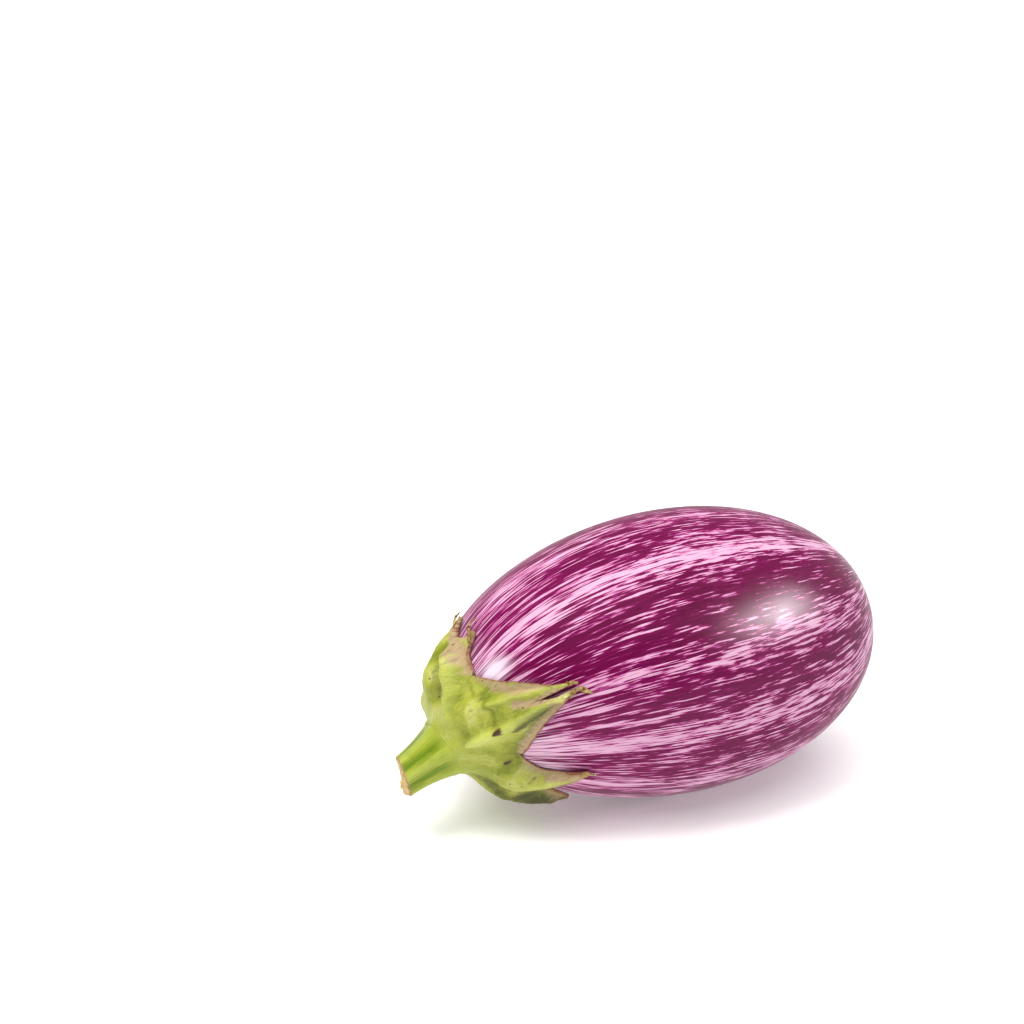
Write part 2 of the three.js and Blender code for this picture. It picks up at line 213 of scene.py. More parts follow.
BODY_RINGS, SCAR_RINGS, FRUIT_SIDES = 260, 26, 288
BODY_RINGS_TO, SCAR_RINGS_FROM, SCAR_RINGS_TO = 174, 5.8, 0.02  # the last two from the blossom pole
rings = 180 - np.geomspace(SCAR_RINGS_FROM, SCAR_RINGS_TO, SCAR_RINGS)
rings = np.concatenate([np.linspace(0, BODY_RINGS_TO, BODY_RINGS), rings])
around = np.linspace(0, 2 * np.pi, FRUIT_SIDES + 1)
reach, turn = np.meshgrid(np.radians(rings), around, indexing="ij")
reach[-1] = np.pi
turn[:, -1] = 0
gathers = 0.5 + 0.5 * np.cos(GATHERS * turn + 1.5 * np.sin(3 * turn))
pucker = -PUCKER_DEPTH * bell(np.degrees(reach) - PUCKER_REACH, PUCKER_WIDTH) * gathers
skin_points = over_skin(reach, turn, pucker)
skin_points[..., 2] = np.maximum(skin_points[..., 2], -FRUIT_MIDDLE[2])
wound = np.degrees(turn) - STREAK_DRIFT * (np.degrees(reach) - DRIFT_FROM)
fullness = np.full(reach.shape, EVEN_FULLNESS)
for bands, sign in ((FULL_BANDS, 1), (PALE_BANDS, -1)):
    for middle, half, strength in bands:
        away = (wound - middle + 180) % 360 - 180
        fullness += sign * strength * bell(away, half)
fullness -= PALER_BY_STEM * (1 - smooth(np.degrees(reach), *PALER_WITHIN))
patch_turn, patch_width, patch_reach, patch_length = PALE_PATCH
pale_patch = bell(np.degrees(turn) - patch_turn, patch_width)
pale_patch = pale_patch * bell(np.degrees(reach) - patch_reach, patch_length)
evened = EVENER_BY_STEM * (1 - smooth(np.degrees(reach), *EVENER_WITHIN))
fullness = fullness * (1 - evened) + evened * 0.5
lengthwise = reach + STREAK_SHORTENING * np.clip(reach - SHORTER_FROM, 0, None) ** 2
streak_place = np.stack([np.cos(np.radians(wound)), np.sin(np.radians(wound)), lengthwise], axis=-1)

# Colours are linear red, green and blue. In a list each has its place on a ramp, and they blend in between.
STREAK_COLOURS = [
    (0.10, (0.62, 0.38, 0.51)),
    (0.32, (0.57, 0.23, 0.40)),
    (0.41, (0.44, 0.10, 0.27)),
    (0.47, (0.28, 0.024, 0.145)),
    (0.53, (0.165, 0.002, 0.066)),
    (0.70, (0.115, 0.0005, 0.042)),
    (1.0, (0.082, 0, 0.026)),
]
SCAR_COLOURS = [
    (0.06, (0.30, 0.19, 0.09)),
    (0.24, (0.09, 0.04, 0.016)),
    (0.42, (0.23, 0.13, 0.06)),
    (0.7, (0.05, 0.016, 0.012)),
]
BLUSH, PALE_LINE, PALE_SKIN = (0.27, 0.008, 0.12), (0.634, 0.45, 0.55), (0.70, 0.56, 0.65)
STREAK_LAYERS = {  # length against width, scale, detail, roughness, weight
    "broad": (0.25, 4.0, 2.0, 0.5, 0.45),
    "middling": (0.13, 15.0, 3.0, 0.6, 1.0),
    "fine": (0.07, 46.0, 1.5, 0.55, 2.7),
    "hairline": (0.06, 105.0, 2.0, 0.5, 2.2),
    "flecks": (0.16, 70.0, 3.0, 0.65, 1.0),
}

# The wax is an even gloss with a soft bloom, which shows where the skin turns away
skin, tree, shader = new_material(
    "waxy_skin", Roughness=0.3, Coat_Weight=0.04, Coat_IOR=3.0, Specular_IOR_Level=0,
    Sheen_Weight=0.4, Sheen_Roughness=0.35,
)
place = mark_of(tree, "streak_place", "Vector")


def stretched(along):
    return add(tree, "VectorMath", place, (1, 1, along), operation="MULTIPLY")


layers = {}
depth = mark_of(tree, "fullness")
for layer, (along, scale, detail, roughness, weight) in STREAK_LAYERS.items():
    layers[layer] = noise(tree, stretched(along), scale, detail, roughness)
    swing = calc(tree, "MULTIPLY_ADD", layers[layer], weight, -0.5 * weight)
    depth = calc(tree, "ADD", depth, swing)
fine, flecks = layers["fine"], layers["flecks"]
streaks = ramp(tree, depth, STREAK_COLOURS)
blush = noise(tree, stretched(0.5), 2.2, 1.0, 0.5)
streaks = blend(tree, calc(tree, "MULTIPLY", blush, 0.24), streaks, BLUSH)
by_calyx = calc(tree, "SUBTRACT", 1.0, mark_of(tree, "off_calyx"), clamp=True)
pale_lines = calc(tree, "MULTIPLY_ADD", fine, -5.0, 2.9, clamp=True)
pale_lines = calc(tree, "MULTIPLY", by_calyx, pale_lines, clamp=True)
streaks = blend(tree, pale_lines, streaks, PALE_LINE)
patch = calc(tree, "MULTIPLY_ADD", fine, -3.4, 1.7)
patch = calc(tree, "MULTIPLY_ADD", mark_of(tree, "pale_patch"), 1.5, patch, clamp=True)
patch = calc(tree, "MULTIPLY", patch, mark_of(tree, "pale_patch"), clamp=True)
streaks = blend(tree, patch, streaks, PALE_SKIN)
cork = noise(tree, stretched(1.0), 5.0, 4.0, 0.7)
from_scar = calc(tree, "MULTIPLY_ADD", cork, 0.7, calc(tree, "SUBTRACT", mark_of(tree, "off_scar"), 0.35))
scar_colour = ramp(tree, from_scar, SCAR_COLOURS)
at_scar = calc(tree, "MULTIPLY_ADD", from_scar, -6.0, 5.2, clamp=True)
streaks = blend(tree, at_scar, streaks, scar_colour)
tree.links.new(streaks, shader.inputs["Base Color"])
gloss = calc(tree, "MULTIPLY_ADD", noise(tree, stretched(0.4), 9.0, 2.0, 0.5), 0.12, 0.22)
gloss = calc(tree, "ADD", gloss, calc(tree, "MULTIPLY", at_scar, 0.4))
tree.links.new(gloss, shader.inputs["Roughness"])
tree.links.new(gloss, shader.inputs["Coat Roughness"])
grain = calc(tree, "ADD", calc(tree, "MULTIPLY", fine, 0.6), calc(tree, "MULTIPLY", flecks, 0.4))
bump = add(tree, "Bump", inputs={"Strength": 0.06, "Distance": 0.0004, "Height": grain})
tree.links.new(bump, shader.inputs["Normal"])

off_calyx = smooth(np.degrees(reach), *OFF_CALYX)
off_scar = smooth(180 - np.degrees(reach), *OFF_SCAR)
fruit = mesh_piece(
    "fruit_skin",
    [(skin_points, False)],
    {
        "pale_patch": [pale_patch],
        "streak_place": [streak_place],
        "fullness": [fullness],
        "off_calyx": [off_calyx],
        "off_scar": [off_scar],
    },
    skin,
)
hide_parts("fruit")
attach(fruit, "root")

# The calyx is the flower's cup, grown thick and fleshy: six sepals joined at their feet, which grip the
# fruit's shoulder. Their thin margins dry to tan first, and two tips were torn while the fruit swelled.
# Outlines are (turn, reach) in degrees, and tear is where a split begins and how wide it opens.
SEPALS = [
    dict(
        plump=1,
        rising=[(322, 25), (329, 29)],
        tip=[(333, 31), (355.5, 28.8)],
        falling=[(357, 25.6), (361.5, 23.2)],
        notch=(371.5, 20.6),
        tear=(0.62, 0.72),
    ),
    dict(
        plump=1,
        rising=[(29, 24.5), (43, 31.5)],
        tip=[(48.7, 39.2), (53.2, 38.6)],
        falling=[(58, 32.3), (70, 23.8)],
        notch=(91, 16.6),
        tear=(0.58, 0.5),
    ),
    dict(
        plump=1.1,
        rising=[(105, 20.7), (106, 26.5)],
        tip=[(103.5, 33.6), (106, 33.6)],
        falling=[(116, 28.5), (126, 25)],
        notch=(135, 20.5),
        tear=None,
    ),
    dict(
        plump=1.25,
        rising=[(145, 26), (152, 30)],
        tip=[(155, 31.5), (157, 31.5)],
        falling=[(165, 28), (176, 23)],
        notch=(188, 19),
        tear=None,
    ),
    dict(
        plump=1,
        rising=[(200, 23.5), (211, 30)],
        tip=[(216.5, 37), (219, 37)],
        falling=[(226, 30), (239, 23.5)],
        notch=(253, 20),
        tear=None,
    ),
    dict(
        plump=0.7,
        rising=[(267, 24.5), (279, 31)],
        tip=[(283, 39), (285, 39)],
        falling=[(292, 31), (304, 24)],
        notch=(316, 20),
        tear=None,
    ),
]
SEAT_GAP, SEPAL_EDGE, SEPAL_PUFF = 0.12, 0.95, 4.6
TIP_CURL, CROWN_HOLLOW = 0.8, 0.25
STEM_YAW, STEM_DROOP, STEM_LENGTH = 8.7, 23.5, 14.8
STEM_TIP_RADIUS, STEM_FLARE, STEM_RIDGE = 5.4, 3.6, 0.95
STEM_RIDGES, RIDGE_WIDTH = [5, 63, 118, 172, 228, 296], 0.27  # degrees of turn, radians
FLARE_POWER, PUFF_FALL, CURL_POWER = 1.8, 1.1, 4
FLANK_WAVE, FLANK_RIPPLE = 0.35, 0.16  # degrees
FOLD_SCALE = 2.5  # height of a strong fold
LUMP_HEIGHT, WRINKLE_HEIGHT, RIB_HEIGHT, SIDE_RIB_HEIGHT = 0.22, 0.07, 0.25, 0.15
RIM_CURL, CORK_HEIGHT, LEAST_LIFT, TEAR_SINK = 0.25, 0.35, 0.45, 0.5
COLLAR_GAP, COLLAR_SPREAD, COLLAR_RISE = 0.12, 9, 1.7
FIBRES_MEET, FIBRE_STRETCH = 4, 0.012  # the fibres fan out from the stem
CROWN_RADIUS, CROWN_HEIGHT, CROWN_RISE = 9.3, 4.6, 1.1
HALF_COLUMNS, CROWN_ROWS, SEPAL_ROWS = 28, 36, 56

stem_axis, stem_side, stem_top = square_frame(stemwards(STEM_YAW, STEM_DROOP))
crown_middle = over_skin(np.array(0.0), np.array(0.0), np.array(CROWN_HEIGHT)) + CROWN_RISE * growth_top


def on_chart(points):
    turn, reach = np.radians([p[0] for p in points]), np.array([p[1] for p in points], dtype=float)
    return np.stack([reach * np.cos(turn), reach * np.sin(turn)], axis=-1)


def spline(points, share):
    """A Catmull-Rom curve through the points."""
    last = len(points) - 1
    at = np.clip(share, 0, 1) * last
    i = np.minimum(at.astype(int), last - 1)
    t = (at - i)[..., None]
    p0, p1 = points[np.maximum(i - 1, 0)], points[i]
    p2, p3 = points[i + 1], points[np.minimum(i + 2, last)]
    v0, v1 = (p2 - p0) / 2, (p3 - p1) / 2
    return (2 * p1 - 2 * p2 + v0 + v1) * t**3 + (-3 * p1 + 3 * p2 - 2 * v0 - v1) * t**2 + v0 * t + p1


def over_chart(point, lift):
    reach, turn = np.hypot(point[..., 0], point[..., 1]), np.arctan2(point[..., 1], point[..., 0])
    return over_skin(np.radians(reach), turn, lift)


def ripple(x, y, seed, count=9, low=0.5, high=3.0):
    """A gentle seeded unevenness, about -1 to 1."""
    draw = np.random.default_rng(seed)
    total = np.zeros(np.broadcast(x, y).shape)
    for _ in range(count):
        angle, pitch, phase = draw.uniform(0, np.pi), draw.uniform(low, high), draw.uniform(0, 2 * np.pi)
        total += np.sin(pitch * (x * math.cos(angle) + y * math.sin(angle)) + phase)
    return total / math.sqrt(count)


def near_line(chart, line, width):
    """1 on the line through the (turn, reach) points, falling to 0 about two widths away."""
    ends = on_chart(line)
    nearest = np.full(chart.shape[:-1], np.inf)
    for start, end in zip(ends[:-1], ends[1:]):
        step = end - start
        along = np.clip(((chart - start) @ step) / (step @ step), 0, 1)
        nearest = np.minimum(nearest, np.linalg.norm(chart - start - along[..., None] * step, axis=-1))
    return bell(nearest, width)


def near_spots(chart, spots):
    total = np.zeros(chart.shape[:-1])
    for turn, reach, width, strength in spots:
        away = np.linalg.norm(chart - on_chart([(turn, reach)])[0], axis=-1)
        total = np.maximum(total, strength * bell(away, width))
    return total


# Folds are (height in mm, half width in degrees, turn and reach of each point)
FOLDS = [
    (
        2.7,
        1.1,
        [
            (60, 12), (59, 18.6), (58.3, 20.8), (56.2, 23.8),
            (55.4, 26.4), (54.2, 29.4), (53.9, 32.1), (54, 36),
        ],
    ),
    (
        1.6,
        0.9,
        [
            (36, 19), (39.9, 22.8), (41.1, 25.1), (42.6, 26.9),
            (43.5, 28.7), (45.3, 30.9), (46, 33.5), (49, 38),
        ],
    ),
    (-1.7, 2.0, [(12, 21.5), (18.6, 21.6), (25.6, 21.9), (32.6, 23.1), (37.2, 25), (39.8, 27.2), (42, 30)]),
    (-3.1, 1.9, [(88, 16), (80, 17.6), (72.5, 20.1), (66.4, 23.1), (62.1, 25.9), (58.6, 29.3), (57, 31.5)]),
    (-0.7, 1.2, [(47, 25), (49.1, 27.2), (50.2, 29.2), (51.2, 31.1), (51.5, 33)]),
    (-0.8, 0.8, [(29, 18.6), (34, 19.6), (42.6, 19.6), (47.4, 19.3), (52.3, 18.2)]),
    (-0.7, 0.6, [(9.6, 18.8), (16.7, 17.5), (24.8, 17.6)]),
    (2.1, 1.7, [(34, 9), (24.2, 10.5), (12.5, 12.6), (6.5, 14.8), (2.2, 17.1), (356.4, 19.9), (351, 22.2)]),
    (0.9, 2.0, [(62, 7), (60, 9.5), (58.2, 12.7), (57, 16.6)]),
    (-1.8, 1.6, [(356, 13), (355, 15), (352, 18.4), (345, 20.6), (342, 23)]),
    (1.0, 1.2, [(123, 12), (121, 17.7), (116.5, 20.5), (113.2, 23.2), (109.9, 26.4), (107, 31)]),
    (-1.2, 1.4, [(96, 16.5), (99, 18.2), (103, 20.5), (106.5, 23), (107, 26)]),
    (1.3, 1.4, [(158, 8), (157, 15), (155, 20), (156, 28)]),
    (-0.9, 1.6, [(137, 19), (145, 22.5), (150, 27)]),
    (-1.0, 1.6, [(186, 18), (176, 21), (166, 26)]),
    (1.4, 1.4, [(222, 8), (221, 15), (219, 22), (217, 33)]),
    (-1.0, 1.7, [(196, 20), (206, 24), (212, 29)]),
    (-1.2, 1.6, [(250, 19), (238, 22), (227, 28)]),
    (1.3, 1.3, [(287, 8), (286, 16), (285, 25), (284, 36)]),
    (-1.0, 1.7, [(256, 20), (269, 23.5), (278, 29)]),
    (-1.0, 1.6, [(313, 19.5), (303, 22.5), (292, 29)]),
]
# Strips and lines are (strength, half width, points), spots are (turn, reach, half width, strength)
DRY_STRIPS = [
    (0.95, 2.0, [(10, 21.5), (18.6, 21.7), (25.6, 22), (32.6, 23.3), (37.2, 25.2), (39.8, 27.2), (43, 31.5)]),
    (1.05, 1.7, [(46.8, 25), (49.1, 27.2), (50.2, 29.4), (50.4, 31.1), (50.2, 34)]),
    (1.0, 1.9, [(84, 17.6), (77, 19), (72, 21), (67, 23.8), (62.8, 26.4), (59.6, 29.6), (56.8, 32.5)]),
    (1.0, 2.7, [(344, 28), (347.9, 24.6), (354, 23.6), (1.3, 22.7), (8, 21.6)]),
    (1.05, 1.7, [(98, 17.6), (104.5, 20.4), (107.5, 23.6), (107.5, 28), (105.2, 33)]),
    (0.9, 1.8, [(139, 20), (146, 24), (152, 29)]),
    (0.95, 2.0, [(205, 25), (212, 31), (217, 36)]),
    (0.95, 2.0, [(243, 22), (232, 26), (222, 33)]),
    (0.95, 1.9, [(272, 26), (281, 33), (284, 38)]),
]
CORK_SPOTS = [
    (58, 19.7, 1.15, 1.35), (96.2, 13.9, 0.85, 1.1), (111.6, 20.2, 0.9, 0.8), (114.5, 19.0, 0.6, 0.7),
    (109, 22.0, 0.5, 0.7), (348.6, 24.6, 0.5, 0.8), (351, 23.2, 0.5, 0.7), (346, 23.6, 0.45, 0.7),
    (10.8, 20.6, 0.7, 0.9), (6.5, 14.1, 0.4, 0.6), (17, 15.5, 0.35, 0.5), (88.2, 16.9, 0.7, 1.3),
    (121, 14.5, 0.4, 0.5), (80, 11.5, 0.35, 0.5), (160, 21, 0.8, 0.7), (187, 18.6, 0.6, 0.9),
    (206, 19, 1.0, 0.6), (231, 24, 0.7, 0.8), (252, 19.6, 0.5, 0.9), (288, 20, 0.9, 0.8),
    (301, 17, 0.4, 0.6), (316, 19.6, 0.6, 0.9), (268, 14, 0.4, 0.6), (338, 15, 0.4, 0.5),
]
SHADE_LINES = [
    (0.8, 0.7, [(29, 18.6), (34, 19.6), (42.6, 19.6), (47.4, 19.3), (52.3, 18.2)]),
    (0.5, 0.5, [(9.6, 18.8), (16.7, 17.5), (24.8, 17.6)]),
    (1.0, 0.7, [(62.5, 20.6), (59.4, 24), (57.9, 27), (56.4, 30), (55.4, 33)]),
    (0.8, 0.35, [(68, 21.4), (64.2, 24.4), (60.6, 27.8), (57.6, 31)]),
    (0.6, 0.5, [(43.5, 27.5), (44.6, 29.5), (46.8, 31.5), (48.6, 34)]),
    (0.5, 0.5, [(70, 19.5), (64.5, 22.5), (60.5, 25.6)]),
    (1.0, 3.4, [(150, 20), (154, 26), (156, 31)]),
    (0.9, 2.4, [(141, 9), (148, 13), (153, 17), (151, 21)]),
    (0.55, 1.2, [(131, 15), (138, 18), (148, 19), (160, 18.5)]),
    (0.6, 1.0, [(33, 16.5), (41, 17.6), (49, 16.4)]),
    (0.6, 0.6, [(1, 17), (9, 17.8)]),
    (0.6, 0.8, [(349, 16), (345, 19.5)]),
    (0.6, 0.9, [(212, 20), (220, 22.5)]),
    (0.6, 0.8, [(292, 18), (285, 21)]),
    (0.6, 0.7, [(262, 16), (270, 18)]),
]


def stem_ridge(turn):
    away = [(turn - math.radians(middle) + np.pi) % (2 * np.pi) - np.pi for middle in STEM_RIDGES]
    return sum(bell(a, RIDGE_WIDTH) for a in away)


def stem_radius(share, turn):
    flare = STEM_FLARE * np.clip(1 - share, 0, 1) ** FLARE_POWER
    return STEM_TIP_RADIUS + flare + STEM_RIDGE * (stem_ridge(turn) - 0.5)


def crown_point(turn, radius, rise=0.0):
    across = np.cos(turn)[..., None] * stem_top + np.sin(turn)[..., None] * stem_side
    return crown_middle + np.asarray(radius)[..., None] * across + np.asarray(rise)[..., None] * stem_axis


calyx_grids = []
MARKS = (
    "relief", "margin", "tipward", "crownward", "dry_strip", "cork", "shade", "edge_line", "fibre_place",
    "leaf_place",
)
calyx_marks = {mark: [] for mark in MARKS}


def fold_height(chart):
    return sum(height * near_line(chart, line, width) for height, width, line in FOLDS)


def strongest(chart, lines):
    return np.max([strength * near_line(chart, line, width) for strength, width, line in lines], axis=0)


def keep_grid(points, flipped, margin, tipward, crownward, torn, chart):
    calyx_grids.append((points, flipped))
    dry = np.maximum(strongest(chart, DRY_STRIPS), torn)
    for mark, values in (
        ("margin", margin), ("tipward", tipward), ("crownward", crownward), ("dry_strip", dry),
        ("cork", near_spots(chart, CORK_SPOTS)), ("shade", strongest(chart, SHADE_LINES)),
        ("edge_line", smooth(margin, 0.9, 1.0)), ("relief", fold_height(chart) / FOLD_SCALE),
    ):
        calyx_marks[mark].append(np.broadcast_to(values, points.shape[:2]))
    calyx_marks["leaf_place"].append(np.concatenate([chart, np.zeros(chart.shape[:2] + (1,))], axis=-1))
    away = np.hypot(chart[..., 0], chart[..., 1])
    fan = chart / (away + FIBRES_MEET)[..., None]
    calyx_marks["fibre_place"].append(np.concatenate([fan, FIBRE_STRETCH * away[..., None]], axis=-1))


for number, sepal in enumerate(SEPALS):
    before = SEPALS[number - 1]["notch"]
    rising = on_chart([before, *sepal["rising"], sepal["tip"][0]])
    falling = on_chart([sepal["notch"], *sepal["falling"][::-1], sepal["tip"][1]])
    across = rising[-1] - falling[-1]
    across = -across / np.linalg.norm(across)

    def flank_point(share, sideways):
        ends = []
        for i, curve in enumerate((rising, falling)):
            wave = FLANK_WAVE * np.sin(3 * np.pi * share + i) * np.sin(np.pi * share)
            uneven = ripple(23 * share, 5.0 * i, 40 + number)
            wave = wave + FLANK_RIPPLE * np.sin(np.pi * share) * uneven
            ends.append(spline(curve, share) + wave[..., None] * across)
        return ends[0] + (ends[1] - ends[0]) * ((sideways + 1) / 2)[..., None]

    def lift_at(crown, share, sideways, chart):
        edge = np.abs(sideways)
        margin = smooth(edge, 0.25, 0.85) * smooth(crown, 0.2, 1)
        hollow = CROWN_HOLLOW * (1 - smooth(crown, 0.1, 1))
        fleshy = (sepal["plump"] + (1 - sepal["plump"]) * smooth(edge, 0.2, 1)) * (1 - hollow) * (1 - margin)
        rib = bell(sideways, 0.13) * smooth(crown, 0.15, 0.9) * (1 - share**2)
        side_rib = bell(edge - 0.42, 0.07) * smooth(crown, 0.5, 1) * smooth(1 - share, 0, 0.5)
        x, y = chart[..., 0], chart[..., 1]
        lumps = LUMP_HEIGHT * ripple(0.55 * x, 0.55 * y, seed=7, count=12, low=0.6, high=2.2)
        wrinkles = WRINKLE_HEIGHT * ripple(1.9 * x, 1.9 * y, seed=8, count=14, low=0.8, high=2.6)
        curled = RIM_CURL * smooth(edge, 0.9, 1) * smooth(crown, 0.8, 1)
        puffy = SEPAL_PUFF * fleshy * np.clip(1 - share, 0, 1) ** PUFF_FALL
        folds = fold_height(chart) + CORK_HEIGHT * near_spots(chart, CORK_SPOTS)
        body = RIB_HEIGHT * rib + SIDE_RIB_HEIGHT * side_rib
        body = body + (lumps + wrinkles) * (0.35 + 0.65 * (1 - margin)) + curled
        lift = SEPAL_EDGE + puffy + body * (1 - 0.6 * share**3) + folds * (1 - 0.7 * share**4)
        return SEAT_GAP + np.maximum(lift, LEAST_LIFT) + TIP_CURL * share**CURL_POWER

    crown = np.linspace(0, 1, CROWN_ROWS + 1)[:, None]
    share = np.linspace(0, 1, SEPAL_ROWS + 1)[:, None]
    for half in (-1, 1):
        columns = np.linspace(min(half, 0), max(half, 0), HALF_COLUMNS + 1)[None, :]
        feet = flank_point(np.zeros(columns.shape), columns)
        # The crown, from the stem out to the sepals' feet
        turn = np.arctan2(feet[..., 1], feet[..., 0])
        foot_reach = np.hypot(feet[..., 0], feet[..., 1])
        crown_reach = math.degrees(CROWN_RADIUS / np.linalg.norm(crown_middle))
        outward = crown_reach + (foot_reach - crown_reach) * crown
        chart = np.stack([outward * np.cos(turn), outward * np.sin(turn)], axis=-1)
        turns = np.broadcast_to(turn, outward.shape)
        on_skin = over_chart(chart, lift_at(crown, 0 * outward, columns + 0 * outward, chart))
        collar = stem_radius(0.1, turns) + COLLAR_GAP + COLLAR_SPREAD * crown**1.5
        collar_rise = COLLAR_RISE * np.clip(1 - crown / 0.28, 0, 1) ** 1.5
        by_stem = crown_point(turns, collar, collar_rise + 0 * turns)
        joined = smooth(crown, 0, 0.42)[..., None]
        crown_top = by_stem + (on_skin - by_stem) * joined
        edge = np.abs(columns) + 0 * outward
        rim = smooth(edge, 0.6, 1) * smooth(crown, 0.8, 1.05)
        keep_grid(crown_top, False, rim, 0.0, 1 - crown, 0.0, chart)
        centre = np.stack([np.broadcast_to(crown_middle, crown_top[0].shape), crown_top[0]])
        keep_grid(centre, False, 0.0, 0.0, 1.0, 0.0, chart[:2])
        under_reach = foot_reach * crown
        chart = np.stack([under_reach * np.cos(turn), under_reach * np.sin(turn)], axis=-1)
        keep_grid(over_chart(chart, SEAT_GAP), True, 0.0, 0.0, 1.0, 0.0, chart)
        # The sepal, from its foot out to its tip; a torn one parts down its middle
        if sepal["tear"]:
            start, width = sepal["tear"]
            opened = np.clip((share - start) / (1 - start), 0, 1)
            gap = width * (1 - (1 - opened) ** 3 if number == 0 else opened)
        else:
            start, gap = 2.0, 0 * share  # it would begin beyond the tip
        places = columns * (1 - gap) + half * gap
        chart = flank_point(np.broadcast_to(share, places.shape), places)
        torn = smooth(share, start - 0.2, start) * bell(np.abs(places) - gap, 0.3) + 0 * places
        lift = lift_at(1.0, share, places, chart) - TEAR_SINK * torn * (1 - share)
        sepal_top = over_chart(chart, lift)
        sepal_under = over_chart(chart, SEAT_GAP + TIP_CURL * share**CURL_POWER + 0 * places)
        margin = smooth(np.abs(places), 0.6, 1.0) + 0 * share
        tipward = share + 0 * places
        keep_grid(sepal_top, False, margin, tipward, 0.0, torn, chart)
        keep_grid(sepal_under, True, 1.0, tipward, 0.0, torn, chart)
        # Thin walls close the flank, the tip and the split
        outer, inner = (0, -1) if half < 0 else (-1, 0)
        walls = [(slice(None), outer), (-1, slice(None))]
        if sepal["tear"]:
            walls.append((slice(int(start * SEPAL_ROWS), None), inner))
        for part in walls:
            wall = np.stack([sepal_top[part], sepal_under[part]])
            marks = [np.stack([grid[part]] * 2) for grid in (tipward, torn, chart)]
            keep_grid(wall, False, 1.0, marks[0], 0.0, marks[1], marks[2])


FLESH_COLOURS = [
    (0.32, (0.14, 0.17, 0.007)),
    (0.43, (0.27, 0.30, 0.018)),
    (0.53, (0.37, 0.385, 0.045)),
    (0.68, (0.50, 0.50, 0.14)),
]
VEIN_GREEN, FIBRE_GREEN = (0.194, 0.238, 0.014), (0.20, 0.25, 0.010)
CRUMB_DARK, CRUMB_PALE = (0.17, 0.17, 0.014), (0.46, 0.48, 0.16)
GRIT_DARK, GRIT_PALE = (0.10, 0.12, 0.006), (0.54, 0.55, 0.18)
FOLD_LIT, FOLD_PAINTED_SHADE = (0.50, 0.53, 0.12), (0.13, 0.15, 0.008)
SHADED, DEEPLY_SHADED = (0.122, 0.137, 0.009), (0.045, 0.05, 0.006)
MARGIN_TAN, STRIP_TAN, STRIP_FIBRE = (0.338, 0.274, 0.101), (0.403, 0.288, 0.151), (0.16, 0.10, 0.035)
TIP_BROWN, EDGE_BROWN = (0.331, 0.216, 0.058), (0.259, 0.101, 0.05)
CORK_BROWN, SPECK_BROWN = (0.061, 0.026, 0.009), (0.072, 0.043, 0.011)
CROWN_GREEN = (0.33, 0.375, 0.048)

green, tree, shader = new_material(
    "calyx_flesh", Roughness=0.5, Specular_IOR_Level=0.4, Subsurface_Weight=0.08, Subsurface_Scale=0.003,
    Subsurface_Radius=(0.6, 0.9, 0.2),
)
place = mark_of(tree, "leaf_place", "Vector")
patches = noise(tree, place, 0.16, 3.0, 0.55)
veins = noise(tree, add(tree, "VectorMath", place, (0.9, 0.9, 1), operation="MULTIPLY"), 0.7, 4.0, 0.65)
fibres = noise(tree, mark_of(tree, "fibre_place", "Vector"), 26.0, 3.0, 0.6)
crumbs = noise(tree, place, 1.7, 3.0, 0.65)
grit = noise(tree, place, 5.0, 2.0, 0.6)
flesh = ramp(tree, patches, FLESH_COLOURS)
for layer, gain, rise, colour in (
    (veins, 2.2, -1.15, VEIN_GREEN),
    (fibres, 2.6, -1.35, FIBRE_GREEN),
    (crumbs, 3.2, -1.85, CRUMB_DARK),
    (crumbs, -3.2, 1.25, CRUMB_PALE),
    (grit, 5.0, -2.9, GRIT_DARK),
    (grit, -4.0, 1.55, GRIT_PALE),
    # painted light on the raised folds and painted shade in the creases between them, from the fold heights
    (mark_of(tree, "relief"), 0.6, -0.08, FOLD_LIT),
    (mark_of(tree, "relief"), -0.8, -0.06, FOLD_PAINTED_SHADE),
):
    flesh = blend(tree, calc(tree, "MULTIPLY_ADD", layer, gain, rise, clamp=True), flesh, colour)
frayed_edge = calc(tree, "MULTIPLY_ADD", veins, 1.1, -0.95)
frayed_edge = calc(tree, "ADD", frayed_edge, calc(tree, "MULTIPLY", fibres, 0.8))


def over(mark, gain, rise, colour, below):
    """Lay a colour over the one below it where the mark is strong, with a ragged border."""
    frayed_mark = calc(tree, "ADD", mark_of(tree, mark), frayed_edge)
    share = calc(tree, "MULTIPLY_ADD", frayed_mark, gain, rise, clamp=True)
    return blend(tree, share, below, colour)


flesh = over("shade", 1.6, -0.7, SHADED, flesh)
in_deep_shade = calc(tree, "MULTIPLY_ADD", mark_of(tree, "shade"), 4.0, -3.0, clamp=True)
flesh = blend(tree, calc(tree, "MULTIPLY", in_deep_shade, 0.8), flesh, DEEPLY_SHADED)
flesh = over("margin", 1.6, -1.0, MARGIN_TAN, flesh)
flesh = over("dry_strip", 2.2, -0.95, STRIP_TAN, flesh)
flesh = over("tipward", 4.0, -3.3, TIP_BROWN, flesh)
flesh = over("crownward", 4.0, -3.0, CROWN_GREEN, flesh)
dark_fibres = calc(tree, "MULTIPLY_ADD", fibres, 4.0, -2.2, clamp=True)
in_strip = calc(tree, "MULTIPLY", mark_of(tree, "dry_strip"), dark_fibres)
flesh = blend(tree, in_strip, flesh, STRIP_FIBRE)
flesh = over("edge_line", 3.0, -1.9, EDGE_BROWN, flesh)
flesh = over("cork", 2.6, -1.3, CORK_BROWN, flesh)
specks = add(tree, "TexVoronoi", inputs={"Vector": place, "Scale": 0.5})
speck = ramp(tree, specks, [(0.07, (1, 1, 1)), (0.13, (0, 0, 0))])
rare = calc(tree, "GREATER_THAN", noise(tree, place, 0.33, 0.0), 0.52)
